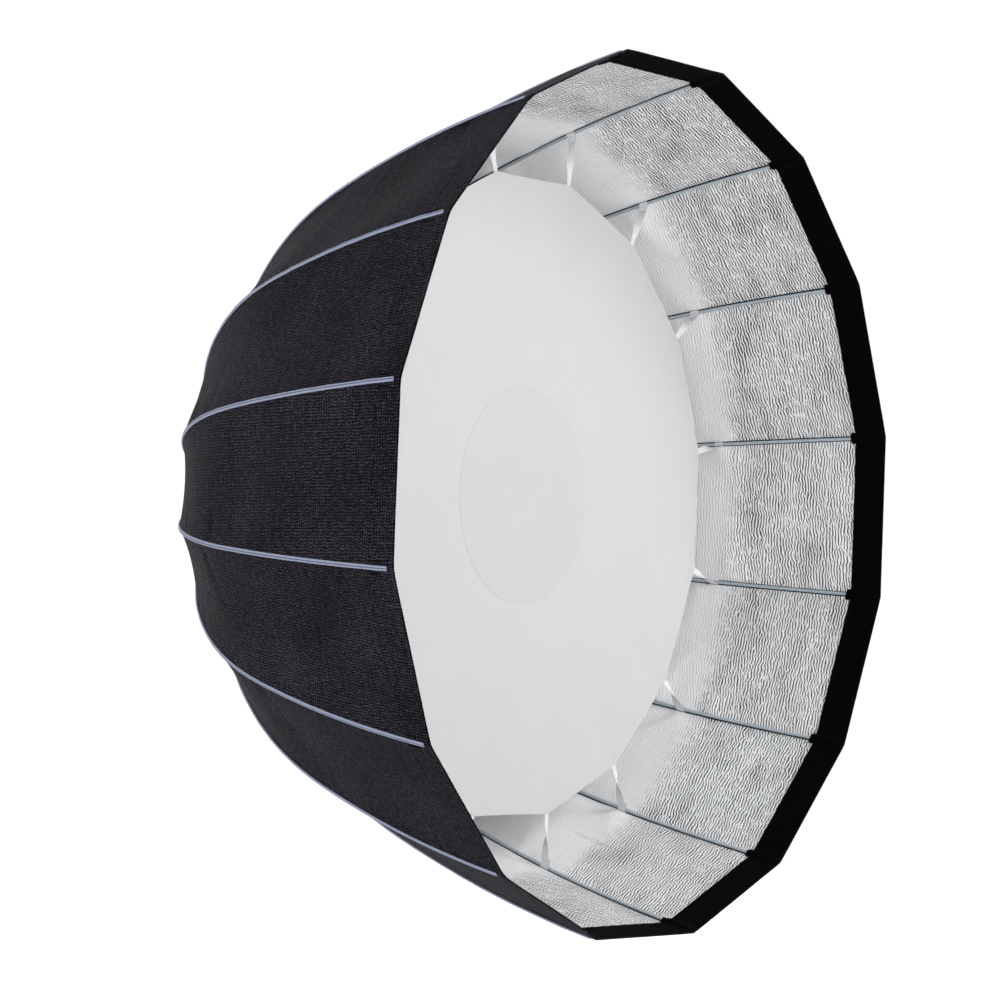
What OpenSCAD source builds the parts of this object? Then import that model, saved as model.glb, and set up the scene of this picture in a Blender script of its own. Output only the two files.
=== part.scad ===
/* [Ribs] */
// Diameter of each flexed rib rod
rod_d = 4.5; // [3.5:0.1:4.8]
// Length of the straight rod base that sits in the hinged socket
base_len = 44; // [40:1:48]
// Angle between the box axis and the rod at its base
base_angle = 84; // [83:0.5:85]
// Bend radius of the rod next to the hub
bend_r1 = 169; // [150:1:190]
// Angle to the axis at which the rod leaves the first bend
bend_a1 = 59.5; // [58:0.5:61]
// Bend radius of the middle stretch of the rod
bend_r2 = 652; // [620:1:680]
// Angle to the axis at which the rod leaves the middle stretch
bend_a2 = 24.6; // [23.6:0.1:25.6]
// Bend radius of the front stretch of the rod
bend_r3 = 1913; // [1800:1:2000]
// Angle to the axis at the rim
rim_angle = 13.1; // [12.6:0.1:13.6]
// How far the rod tip stops short of the rim, inside its pocket
tip_back = 10; // [6:1:20]

/* [Skin] */
// Thickness of the sewn skin, black outside and silver inside
skin_t = 1.2; // [0.8:0.1:1.4]
// Distance from the rod centreline to the inside of the skin
skin_off = 3.0; // [2.9:0.1:3.4]
// Distance from the socket centreline to the inside of the skin
skin_off_hub = 8.2; // [7.5:0.1:9]
// Half of the gap left between neighbouring panels at a seam
seam_gap = 0.3; // [0.2:0.05:0.5]
// Width of the black lip folded inwards at the rim
lip_w = 45; // [30:1:60]
// Thickness of the lip
lip_t = 1.0; // [0.8:0.1:1.2]

/* [Speedring] */
// Radius of the circle that the rib hinges sit on
pivot_r = 98; // [97:0.5:99]
// Distance of the hinge circle in front of the mounting face
pivot_z = 20; // [20:0.1:20.3]
// Radius of each hinge pin
pin_r = 1.5; // [1.3:0.1:1.6]
// Width of the socket between the two hinge ears
arm_w = 10; // [8:0.5:10]
// Thickness of each hinge ear
ear_t = 3; // [2.5:0.5:3.5]
// Outer radius of the ring's solid wall
ring_r = 88; // [86:0.5:88]
// Outer radius of the rear flange that stops the ribs
flange_r = 108; // [104:1:108]
// Outer radius of the rotating bayonet insert
insert_r = 52; // [51:0.5:53]
// Running clearance between the insert and the ring
run_gap = 0.06; // [0.04:0.01:0.1]

/* [Bayonet] */
// Radius of the clear throat that the flash head's dome reaches through
throat_r = 42; // [38:0.5:44]
// Radius of the rear spigot
spigot_r = 48.5; // [47:0.5:49]
// Length of the rear spigot behind the seat face
spigot_l = 9; // [8:0.5:12]
// How far each bayonet lug stands out of the spigot
lug_h = 4; // [3:0.5:5]
// Angle that each bayonet lug covers
lug_a = 22; // [15:1:30]

/* [Inner diffuser] */
// Distance of the inner diffuser behind the rim
diff_depth = 229; // [215:1:245]
// Radius of the inner diffuser at its corners
diff_r = 447; // [400:1:455]
// Thickness of the diffuser cloth
diff_t = 1.0; // [0.8:0.1:1.2]
// Radius of the denser centre patch
patch_r = 150; // [100:5:200]
// Width of each strap
strap_w = 10; // [8:0.5:14]
// How far behind the diffuser each strap meets its rod
strap_rise = 13; // [0:1:20]

/* [Hidden] */
$fn = 96;
n = 16;
step = 360 / n;
half = step / 2;
first = 90 + half;
// Rib profile: X is the radius, Y runs from the rim to the rear.
function along(a) = [sin(a), -cos(a)];
function outward(a) = [cos(a), sin(a)];
p0 = [pivot_r, -pivot_z];
p1 = p0 + base_len * along(base_angle);
c1 = p1 - bend_r1 * outward(base_angle);
p2 = c1 + bend_r1 * outward(bend_a1);
c2 = p2 - bend_r2 * outward(bend_a1);
p3 = c2 + bend_r2 * outward(bend_a2);
c3 = p3 - bend_r3 * outward(bend_a2);
p4 = c3 + bend_r3 * outward(rim_angle);
len1 = bend_r1 * (base_angle - bend_a1) * PI / 180;
len2 = bend_r2 * (bend_a1 - bend_a2) * PI / 180;
len3 = bend_r3 * (bend_a2 - rim_angle) * PI / 180;
total = base_len + len1 + len2 + len3;
deg1 = 180 / PI / bend_r1;
deg2 = 180 / PI / bend_r2;
deg3 = 180 / PI / bend_r3;
// Angle to the axis, and point, at a distance s along the centreline from the hinge.
function ang(s) = s <= base_len ? base_angle
    : s <= base_len + len1 ? base_angle - (s - base_len) * deg1
    : s <= base_len + len1 + len2 ? bend_a1 - (s - base_len - len1) * deg2
    : bend_a2 - (s - base_len - len1 - len2) * deg3;
function mid(s) = s <= base_len ? p0 + s * along(base_angle)
    : s <= base_len + len1 ? c1 + bend_r1 * outward(ang(s))
    : s <= base_len + len1 + len2 ? c2 + bend_r2 * outward(ang(s))
    : c3 + bend_r3 * outward(ang(s));
function smooth(t) = let (u = min(1, max(0, t))) u * u * (3 - 2 * u);
function clear_of(s) = skin_off_hub + (skin_off - skin_off_hub) * smooth((s - 48) / 62);
function flat(p) = [p[0] * cos(half), p[1]];
function side(s, off) = flat(mid(s) + off * outward(ang(s)));
// Stations along the panel, closer together where the rib bends harder.
stations = concat(
    [18, 32],
    [for (i = [0:8]) base_len + len1 * i / 8],
    [for (i = [1:11]) base_len + len1 + len2 * i / 11],
    [for (i = [1:7]) base_len + len1 + len2 + len3 * i / 7]);
lip_stations = [for (i = [0:3]) total - lip_w + lip_w * i / 3];
last = len(stations) - 1;
panel = concat(
    [for (s = stations) side(s, clear_of(s) + skin_t)],
    [for (i = [0:3]) side(lip_stations[3 - i], -skin_off - lip_t)],
    [for (i = [0:2]) side(lip_stations[i], -skin_off)],
    [side(total - 3, -skin_off), side(total - 3, skin_off)],
    [for (i = [1:last]) side(stations[last - i], clear_of(stations[last - i]))]);
ring_front = -25.9;
ring_rear = -3.2;
stop_z = -14.4;
diff_z = mid(total)[1] + diff_depth;

// Turns a piece built on the rib's own axes, X outwards and Z to the rear, to its place round the box.
module at(phi) { rotate([-90, 0, 0]) rotate([0, 0, -phi]) children(); }
module ring(r_in, r_out, z0, z1) {
    rotate_extrude() translate([r_in, z0]) square([r_out - r_in, z1 - z0]);
}
module pan_screw(r, z_head, shaft, head_r, head_h) {
    translate([r, 0, 0]) difference() {
        union() {
            translate([0, 0, z_head - head_h]) cylinder(r = head_r, h = head_h, $fn = 32);
            translate([0, 0, z_head - 0.1]) cylinder(r = 1.2, h = shaft + 0.1, $fn = 32);
        }
        translate([0, 0, z_head - head_h - 1]) cylinder(r = 1.3, h = 1.9, $fn = 6);
    }
}

module bayonet_insert() {
    color("silver") at(0) difference() {
        union() {
            ring(throat_r, insert_r, -26.75, -2);
            ring(throat_r, 58, -3, 0);
            ring(throat_r, spigot_r, -1, spigot_l);
            for (i = [0:2]) rotate([0, 0, 120 * i + 79])
                rotate_extrude(angle = lug_a) translate([spigot_r - 0.5, 5])
                    square([lug_h + 0.5, spigot_l - 5]);
        }
        for (i = [0:5]) rotate([0, 0, 60 * i]) translate([47, 0, -27.75])
            cylinder(r = 1.25, h = 12, $fn = 32);
    }
}

module retaining_ring() {
    color("silver") at(0) difference() {
        rotate_extrude() polygon([[43, -26.75], [60.5, -26.75], [60.5, -29], [59.75, -29.75],
            [45, -29.75], [43, -28.5]]);
        for (i = [0:5]) rotate([0, 0, 60 * i]) translate([47, 0, -31]) cylinder(r = 1.6, h = 6, $fn = 32);
    }
}

module retaining_screws() {
    color("gainsboro") at(0) for (i = [0:5]) rotate([0, 0, 60 * i])
        pan_screw(47, -29.75, 12, 2.5, 1.5);
}

module speedring_body() {
    color("dimgray") at(0) difference() {
        union() {
            difference() {
                ring(insert_r + run_gap, ring_r, ring_front, ring_rear);
                difference() {
                    ring(64, 80, -16, ring_rear + 1);
                    for (i = [0:7]) rotate([0, 0, 45 * i]) translate([60, -4, -17]) cube([24, 8, 20]);
                }
            }
            ring(ring_r - 1, flange_r, stop_z, ring_rear);
            for (i = [0:n - 1]) rotate([0, 0, step * (i + 0.5)]) for (m = [0, 1]) mirror([0, m, 0]) {
                translate([84, arm_w / 2 + 0.2, ring_front]) cube([pivot_r - 84, ear_t, 11.9]);
                translate([pivot_r, arm_w / 2 + 0.2, -pivot_z]) rotate([-90, 0, 0])
                    cylinder(r = 6.5, h = ear_t);
            }
        }
        for (i = [0:n - 1]) rotate([0, 0, step * (i + 0.5)]) {
            translate([pivot_r, -12, -pivot_z]) rotate([-90, 0, 0]) cylinder(r = pin_r + 0.02, h = 24);
            translate([85, -2.8, stop_z - 1]) cube([13.5, 5.6, 9.5]);
        }
        for (i = [0:7]) rotate([0, 0, 45 * i]) translate([76, 0, ring_front - 1])
            cylinder(r = 1.25, h = 10.8, $fn = 32);
    }
}

module slip_washer() { color("ivory") at(0) ring(insert_r + 0.3, 60, -26.65, -25.95); }

module hinge_pins() {
    color("gainsboro") for (i = [0:n - 1]) at(first - step * i) translate([pivot_r, 0, -pivot_z])
        rotate([-90, 0, 0]) {
            translate([0, 0, -8.5]) cylinder(r = pin_r, h = 17.2);
            translate([0, 0, arm_w / 2 + ear_t + 0.25]) cylinder(r = pin_r + 0.8, h = 0.8);
        }
}

module front_cover() {
    color("dimgray") at(0) difference() {
        rotate_extrude() polygon([[61, -26.1], [89.5, -26.1], [89.5, -27.4], [87.5, -29],
            [84, -29.4], [64, -29.4], [61, -28.4]]);
        for (i = [0:7]) rotate([0, 0, 45 * i]) translate([76, 0, -31]) cylinder(r = 1.7, h = 8, $fn = 32);
    }
}

module cover_screws() {
    color("gainsboro") at(0) for (i = [0:7]) rotate([0, 0, 45 * i])
        pan_screw(76, -29.4, 12, 2.9, 1.8);
}

module rear_cuff() {
    color("black") at(0) rotate_extrude() polygon([[92, -3.1], [112.2, -3.1], [112.2, -12],
        [113.4, -12], [113.4, -3.1], [112.6, -1.9], [92, -1.9]]);
}

module inner_diffuser() {
    color("white") at(first) translate([0, 0, diff_z - diff_t / 2]) linear_extrude(diff_t)
        polygon([for (i = [0:n - 1]) diff_r * [cos(step * i), sin(step * i)]]);
}

module diffuser_centre_patch() {
    color("gainsboro") at(0) translate([0, 0, diff_z - diff_t / 2 - 0.9]) cylinder(r = patch_r, h = 0.8);
}

// Radius of the rod's centreline level with the diffuser.
function rod_r_at(z) = z > c3[1] + bend_r3 * sin(bend_a2)
    ? c2[0] + sqrt(pow(bend_r2, 2) - pow(z - c2[1], 2))
    : c3[0] + sqrt(pow(bend_r3, 2) - pow(z - c3[1], 2));
strap_z = diff_z + strap_rise;
strap_end = rod_r_at(strap_z) - rod_d / 2 - 3;

module diffuser_straps() {
    color("white") for (i = [0:n - 1]) at(first - step * i)
        rotate([90, 0, 0]) linear_extrude(strap_w, center = true)
            polygon([[diff_r + 0.4, diff_z - 0.4], [strap_end, strap_z - 0.4],
                [strap_end, strap_z + 0.4], [diff_r + 0.4, diff_z + 0.4]]);
}

// Rings of points swept along the rod, from inside the socket to the tip.
rod_sides = 10;
rod_stations = concat(
    [10.5, base_len],
    [for (i = [1:6]) base_len + len1 * i / 6],
    [for (i = [1:10]) base_len + len1 + len2 * i / 10],
    [for (i = [1:6]) base_len + len1 + len2 + (len3 - tip_back) * i / 6]);
rod_rings = len(rod_stations);
rod_points = [for (s = rod_stations) for (j = [0:rod_sides - 1])
    let (m = mid(s), o = outward(ang(s)), u = rod_d / 2 * cos(360 * j / rod_sides),
        v = rod_d / 2 * sin(360 * j / rod_sides))
    [m[0] + u * o[0], v, m[1] + u * o[1]]];
rod_faces = concat(
    [[for (j = [0:rod_sides - 1]) rod_sides - 1 - j]],
    [for (k = [0:rod_rings - 2]) for (j = [0:rod_sides - 1])
        let (a = k * rod_sides + j, b = k * rod_sides + (j + 1) % rod_sides)
        [a, b, b + rod_sides, a + rod_sides]],
    [[for (j = [0:rod_sides - 1]) (rod_rings - 1) * rod_sides + j]]);

module rib_rod(i) {
    color("lightslategray") at(first - step * i) polyhedron(points = rod_points, faces = rod_faces);
}

module rib_socket(i) {
    color("darkslategray") at(first - step * i) translate([p0[0], 0, p0[1]])
        rotate([0, 90 - base_angle, 0]) difference() {
            union() {
                rotate([90, 0, 0]) cylinder(r = 5.5, h = arm_w, center = true);
                rotate([0, 90, 0]) cylinder(r = 5, h = base_len - 1);
                translate([base_len - 6, 0, 0]) rotate([0, 90, 0]) cylinder(r = 5.8, h = 5);
                translate([2, -arm_w / 2, -5]) cube([12, arm_w, 10.5]);
                translate([-9.3, -2, -2.5]) cube([6, 4, 5]);
            }
            rotate([90, 0, 0]) cylinder(r = pin_r + 0.06, h = arm_w + 2, center = true);
            translate([10, 0, 0]) rotate([0, 90, 0]) cylinder(d = rod_d + 0.1, h = base_len, $fn = 32);
        }
}

module gore(i) {
    color("#2b2b30") at(90 - step * i) intersection() {
        rotate([90, 0, 0]) translate([0, 0, -150]) linear_extrude(300) polygon(panel);
        translate([0, 0, -720]) linear_extrude(740) polygon([[seam_gap / sin(half), 0],
            [640, 640 * tan(half) - seam_gap / cos(half)], [640, -640 * tan(half) + seam_gap / cos(half)]]);
    }
}

bayonet_insert();
retaining_ring();
retaining_screws();
speedring_body();
slip_washer();
hinge_pins();
front_cover();
cover_screws();
rear_cuff();
inner_diffuser();
diffuser_centre_patch();
diffuser_straps();
rib_rod(0);  // rib_rod_01
rib_rod(1);  // rib_rod_02
rib_rod(2);  // rib_rod_03
rib_rod(3);  // rib_rod_04
rib_rod(4);  // rib_rod_05
rib_rod(5);  // rib_rod_06
rib_rod(6);  // rib_rod_07
rib_rod(7);  // rib_rod_08
rib_rod(8);  // rib_rod_09
rib_rod(9);  // rib_rod_10
rib_rod(10);  // rib_rod_11
rib_rod(11);  // rib_rod_12
rib_rod(12);  // rib_rod_13
rib_rod(13);  // rib_rod_14
rib_rod(14);  // rib_rod_15
rib_rod(15);  // rib_rod_16
rib_socket(0);  // rib_socket_01
rib_socket(1);  // rib_socket_02
rib_socket(2);  // rib_socket_03
rib_socket(3);  // rib_socket_04
rib_socket(4);  // rib_socket_05
rib_socket(5);  // rib_socket_06
rib_socket(6);  // rib_socket_07
rib_socket(7);  // rib_socket_08
rib_socket(8);  // rib_socket_09
rib_socket(9);  // rib_socket_10
rib_socket(10);  // rib_socket_11
rib_socket(11);  // rib_socket_12
rib_socket(12);  // rib_socket_13
rib_socket(13);  // rib_socket_14
rib_socket(14);  // rib_socket_15
rib_socket(15);  // rib_socket_16
gore(0);  // gore_01
gore(1);  // gore_02
gore(2);  // gore_03
gore(3);  // gore_04
gore(4);  // gore_05
gore(5);  // gore_06
gore(6);  // gore_07
gore(7);  // gore_08
gore(8);  // gore_09
gore(9);  // gore_10
gore(10);  // gore_11
gore(11);  // gore_12
gore(12);  // gore_13
gore(13);  // gore_14
gore(14);  // gore_15
gore(15);  // gore_16
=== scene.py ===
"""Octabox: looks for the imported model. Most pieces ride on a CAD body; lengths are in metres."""
import math

import bpy
import numpy as np
from mathutils import Matrix, Vector


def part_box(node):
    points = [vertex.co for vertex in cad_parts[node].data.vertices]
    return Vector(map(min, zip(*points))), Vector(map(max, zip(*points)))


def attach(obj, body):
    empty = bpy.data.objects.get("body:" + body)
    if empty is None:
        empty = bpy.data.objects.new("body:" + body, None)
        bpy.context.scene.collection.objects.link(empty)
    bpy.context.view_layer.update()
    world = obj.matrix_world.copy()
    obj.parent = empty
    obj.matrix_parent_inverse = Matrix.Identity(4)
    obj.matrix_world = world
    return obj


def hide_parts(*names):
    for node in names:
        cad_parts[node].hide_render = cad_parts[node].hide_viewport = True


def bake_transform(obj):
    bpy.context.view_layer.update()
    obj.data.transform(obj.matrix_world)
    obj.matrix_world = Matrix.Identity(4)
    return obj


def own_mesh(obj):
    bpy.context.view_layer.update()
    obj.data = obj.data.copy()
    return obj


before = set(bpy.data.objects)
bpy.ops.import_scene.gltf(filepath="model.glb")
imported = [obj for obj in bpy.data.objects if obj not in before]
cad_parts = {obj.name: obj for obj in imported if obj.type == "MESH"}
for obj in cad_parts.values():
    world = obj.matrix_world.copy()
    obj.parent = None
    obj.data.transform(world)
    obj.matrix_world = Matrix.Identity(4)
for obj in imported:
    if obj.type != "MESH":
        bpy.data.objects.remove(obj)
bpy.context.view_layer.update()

# ---------------------------------------------------------------- the box's shape, as in the CAD
N = 16
STEP = 2 * math.pi / N
HALF = STEP / 2
FIRST = math.pi / 2 + HALF
ROD_D = 0.0045
BASE_LEN = 0.044
A3, A2, A1, A0 = (math.radians(a) for a in (84, 59.5, 24.6, 13.1))
R1, R2, R3 = 0.169, 0.652, 1.913
P0 = np.array([0.098, -0.020])
SKIN_T, SKIN_OFF, SKIN_HUB = 0.0012, 0.0030, 0.0082
LIP_W, LIP_T = 0.045, 0.0010
FOLD = math.radians(39)
SIN_H, COS_H, TAN_H = math.sin(HALF), math.cos(HALF), math.tan(HALF)


def along(a):
    return np.stack([np.sin(a), -np.cos(a)], -1)


def outward(a):
    return np.stack([np.cos(a), np.sin(a)], -1)


P1 = P0 + BASE_LEN * along(np.float64(A3))
C1 = P1 - R1 * outward(np.float64(A3))
P2 = C1 + R1 * outward(np.float64(A2))
C2 = P2 - R2 * outward(np.float64(A2))
P3 = C2 + R2 * outward(np.float64(A1))
C3 = P3 - R3 * outward(np.float64(A1))
L1, L2, L3 = R1 * (A3 - A2), R2 * (A2 - A1), R3 * (A1 - A0)
TOTAL = BASE_LEN + L1 + L2 + L3


def ang(s):
    s = np.asarray(s, float)
    b = BASE_LEN
    return np.where(s <= b, A3, np.where(s <= b + L1, A3 - (s - b) / R1,
                    np.where(s <= b + L1 + L2, A2 - (s - b - L1) / R2, A1 - (s - b - L1 - L2) / R3)))


def mid(s):
    """Radius and Y of the rod's centreline at a distance s from the hinge."""
    s = np.asarray(s, float)[..., None]
    a = ang(s[..., 0])
    b = BASE_LEN
    return np.where(s <= b, P0 + s * along(np.full_like(a, A3)),
                    np.where(s <= b + L1, C1 + R1 * outward(a),
                             np.where(s <= b + L1 + L2, C2 + R2 * outward(a), C3 + R3 * outward(a))))


def smooth(t):
    u = np.clip(t, 0, 1)
    return u * u * (3 - 2 * u)


def clear_of(s):
    return SKIN_HUB + (SKIN_OFF - SKIN_HUB) * smooth((s - 0.048) / 0.062)


def rib_angle(k):
    return FIRST - STEP * k


def gore_angle(g):
    return math.pi / 2 - STEP * g


def place(p, phi):
    """Points (radial, tangential, rearward), tangential towards a smaller phi, to the row frame."""
    p = np.asarray(p, float)
    c, s = math.cos(phi), math.sin(phi)
    return np.stack([p[..., 0] * c + p[..., 1] * s, p[..., 2], p[..., 0] * s - p[..., 1] * c], -1)


def hash01(n):
    """A repeatable number from 0 to 1 for each integer."""
    x = np.sin(np.asarray(n, float) * 127.1 + 11.7) * 43758.5453
    return x - np.floor(x)


def noise2(x, y, seed):
    """Smooth value noise, from -1 to 1."""
    xi, yi = np.floor(x), np.floor(y)
    fx, fy = smooth(x - xi), smooth(y - yi)

    def at(i, j):
        return hash01((xi + i) * 57.0 + (yi + j) * 131.0 + seed * 17.3) * 2 - 1

    return ((at(0, 0) * (1 - fx) + at(1, 0) * fx) * (1 - fy) + (at(0, 1) * (1 - fx) + at(1, 1) * fx) * fy)


# ---------------------------------------------------------------- meshes
class Builder:
    """Faces with their own corner normals and UVs; points at one place are joined when it is built."""

    def __init__(self):
        self.v, self.f, self.n, self.uv, self.m, self.count = [], [], [], [], [], 0

    def _faces(self, pts, quads, nrm, uv, mats):
        """quads: n x 4, a triangle repeating its last corner."""
        if nrm is None:
            q = pts[quads]
            a = np.cross(q[:, 2] - q[:, 0], q[:, 3] - q[:, 1])
            nn = np.repeat(unit(a)[:, None], 4, 1)
        else:
            nn = nrm[quads]
        self.v.append(pts)
        self.f.append(quads + self.count)
        self.n.append(nn)
        self.uv.append(uv[quads])
        self.m.append(mats)
        self.count += len(pts)

    def add(self, points, faces, normals, uvs, mat):
        """faces index points, three or four corners each; a longer face becomes a fan."""
        pts = np.asarray(points, float).reshape(-1, 3)
        quads = []
        for f in faces:
            f = tuple(f)
            if len(f) <= 4:
                quads.append(f + (f[-1],) * (4 - len(f)))
            else:
                quads += [(f[0], f[i], f[i + 1], f[i + 1]) for i in range(1, len(f) - 1)]
        quads = np.array(quads, int)
        nrm = None if normals is None else np.asarray(normals, float)
        self._faces(pts, quads, nrm, np.asarray(uvs, float), np.full(len(quads), mat))

    def grid(self, P, Nn, UV, mat, flip=False, closed=False):
        """P is rows x columns x 3. mat may be a number or one per row of faces."""
        r, c = P.shape[:2]
        i, j = np.meshgrid(np.arange(r - 1), np.arange(c if closed else c - 1), indexing="ij")
        k = (j + 1) % c
        q = np.stack([i * c + j, i * c + k, (i + 1) * c + k, (i + 1) * c + j], -1)
        if flip:
            q = q[..., ::-1]
        mat = np.asarray(mat)
        m = np.broadcast_to(mat[:, None] if mat.ndim == 1 else mat, i.shape)
        self._faces(P.reshape(-1, 3), q.reshape(-1, 4), None if Nn is None else np.broadcast_to(Nn, P.shape).reshape(-1, 3),
                    np.broadcast_to(UV, P.shape[:2] + (2,)).reshape(-1, 2), m.reshape(-1).copy())

    def build(self, name, mats, smooth_faces=True):
        v = np.concatenate(self.v)
        key = np.round(v / 2e-6).astype(np.int64)
        _, first, inverse = np.unique(key, axis=0, return_index=True, return_inverse=True)
        inverse = inverse.reshape(-1)
        verts = v[first]
        f = inverse[np.concatenate(self.f)]
        nn, uu, mm = np.concatenate(self.n), np.concatenate(self.uv), np.concatenate(self.m)
        keep = f != np.roll(f, 1, 1)
        srt = np.sort(f, 1)
        distinct = 1 + (np.diff(srt, axis=1) != 0).sum(1)
        ok = (keep.sum(1) >= 3) & (keep.sum(1) == distinct)
        _, once = np.unique(srt, axis=0, return_index=True)
        only = np.zeros(len(f), bool)
        only[once] = True
        ok &= only
        f, nn, uu, mm, keep = f[ok], nn[ok], uu[ok], mm[ok], keep[ok]
        faces = [[int(x) for x, y in zip(a, b) if y] for a, b in zip(f, keep)]
        used, back = np.unique(f[keep], return_inverse=True)
        remap = np.zeros(len(verts), int)
        remap[used] = np.arange(len(used))
        faces = [[int(remap[x]) for x in a] for a in faces]
        normals, uvs = nn[keep], uu[keep]
        mesh = bpy.data.meshes.new(name)
        mesh.from_pydata(verts[used].tolist(), [], faces)
        mesh.polygons.foreach_set("use_smooth", [smooth_faces] * len(faces))
        mesh.polygons.foreach_set("material_index", mm.astype(int).tolist())
        layer = mesh.uv_layers.new(name="UVMap")
        layer.data.foreach_set("uv", np.asarray(uvs, np.float32).reshape(-1))
        for m in mats:
            mesh.materials.append(m)
        mesh.update()
        if smooth_faces:
            mesh.normals_split_custom_set(unit(normals).tolist())
        ob = bpy.data.objects.new(name, mesh)
        bpy.context.scene.collection.objects.link(ob)
        return ob


def unit(a):
    return a / np.maximum(np.linalg.norm(a, axis=-1, keepdims=True), 1e-15)


# ---------------------------------------------------------------- materials
class Nodes:
    """A short way to write a material's node tree."""

    def __init__(self, name):
        self.mat = bpy.data.materials.new(name)
        self.mat.use_nodes = True
        self.t = self.mat.node_tree
        self.t.nodes.clear()
        self.out = self.t.nodes.new("ShaderNodeOutputMaterial")
        self.p = self.t.nodes.new("ShaderNodeBsdfPrincipled")
        self.t.links.new(self.p.outputs[0], self.out.inputs[0])

    def put(self, socket, value):
        if isinstance(value, bpy.types.NodeSocket):
            self.t.links.new(value, socket)
        else:
            socket.default_value = value

    def set(self, **kw):
        names = {"color": "Base Color", "rough": "Roughness", "metal": "Metallic", "normal": "Normal", "sheen": "Sheen Weight",
                 "sheen_rough": "Sheen Roughness", "sheen_tint": "Sheen Tint", "spec": "Specular IOR Level", "coat": "Coat Weight",
                 "coat_rough": "Coat Roughness", "emit": "Emission Color", "emit_s": "Emission Strength"}
        for k, v in kw.items():
            self.put(self.p.inputs[names[k]], v)

    def uv(self, scale=(1, 1, 1), rot=(0, 0, 0)):
        u = self.t.nodes.new("ShaderNodeUVMap")
        u.uv_map = "UVMap"
        return self.mapped(u.outputs[0], scale, rot)

    def obj(self, scale=(1, 1, 1)):
        c = self.t.nodes.new("ShaderNodeTexCoord")
        return self.mapped(c.outputs["Object"], scale)

    def mapped(self, vec, scale, rot=(0, 0, 0)):
        m = self.t.nodes.new("ShaderNodeMapping")
        m.inputs["Scale"].default_value = scale
        m.inputs["Rotation"].default_value = rot
        self.t.links.new(vec, m.inputs[0])
        return m.outputs[0]

    def noise(self, vec, scale=1.0, detail=2.0, rough=0.5, distort=0.0):
        n = self.t.nodes.new("ShaderNodeTexNoise")
        self.t.links.new(vec, n.inputs["Vector"])
        n.inputs["Scale"].default_value = scale
        n.inputs["Detail"].default_value = detail
        n.inputs["Roughness"].default_value = rough
        n.inputs["Distortion"].default_value = distort
        return n.outputs[0]

    def wave(self, vec, scale, direction="X", distort=0.0, detail=0.0, dscale=1.0):
        n = self.t.nodes.new("ShaderNodeTexWave")
        n.bands_direction = direction
        self.t.links.new(vec, n.inputs["Vector"])
        n.inputs["Scale"].default_value = scale
        n.inputs["Distortion"].default_value = distort
        n.inputs["Detail"].default_value = detail
        n.inputs["Detail Scale"].default_value = dscale
        return n.outputs["Fac"]

    def stripes(self, vec, axis, pitch, cells, bend, detail=1.0):
        """Soft bands across one axis, bent by noise whose cells may be longer one way than the other."""
        sep = self.t.nodes.new("ShaderNodeSeparateXYZ")
        self.t.links.new(vec, sep.inputs[0])
        at = self.math("MULTIPLY", sep.outputs[axis], 2 * math.pi / pitch)
        stray = self.math("MULTIPLY_ADD", self.noise(self.mapped(vec, (1 / cells[0], 1 / cells[1], 1)), 1.0, detail), 2 * bend, -bend)
        return self.math("MULTIPLY_ADD", self.math("SINE", self.math("ADD", at, stray)), 0.5, 0.5)

    def math(self, op, a, b=0.0, c=0.0):
        n = self.t.nodes.new("ShaderNodeMath")
        n.operation = op
        self.put(n.inputs[0], a)
        self.put(n.inputs[1], b)
        self.put(n.inputs[2], c)
        return n.outputs[0]

    def ramp(self, fac, *stops):
        n = self.t.nodes.new("ShaderNodeValToRGB")
        e = n.color_ramp.elements
        while len(e) < len(stops):
            e.new(0.5)
        for x, (pos, col) in zip(e, stops):
            x.position = pos
            x.color = (*col, 1)
        self.t.links.new(fac, n.inputs[0])
        return n.outputs[0]

    def span(self, fac, lo, hi):
        n = self.t.nodes.new("ShaderNodeMapRange")
        self.put(n.inputs[0], fac)
        n.inputs[3].default_value = lo
        n.inputs[4].default_value = hi
        return n.outputs[0]

    def bump(self, height, distance, strength=1.0, under=None):
        n = self.t.nodes.new("ShaderNodeBump")
        n.inputs["Distance"].default_value = distance
        n.inputs["Strength"].default_value = strength
        self.t.links.new(height, n.inputs["Height"])
        if under is not None:
            self.t.links.new(under, n.inputs["Normal"])
        return n.outputs[0]


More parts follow.
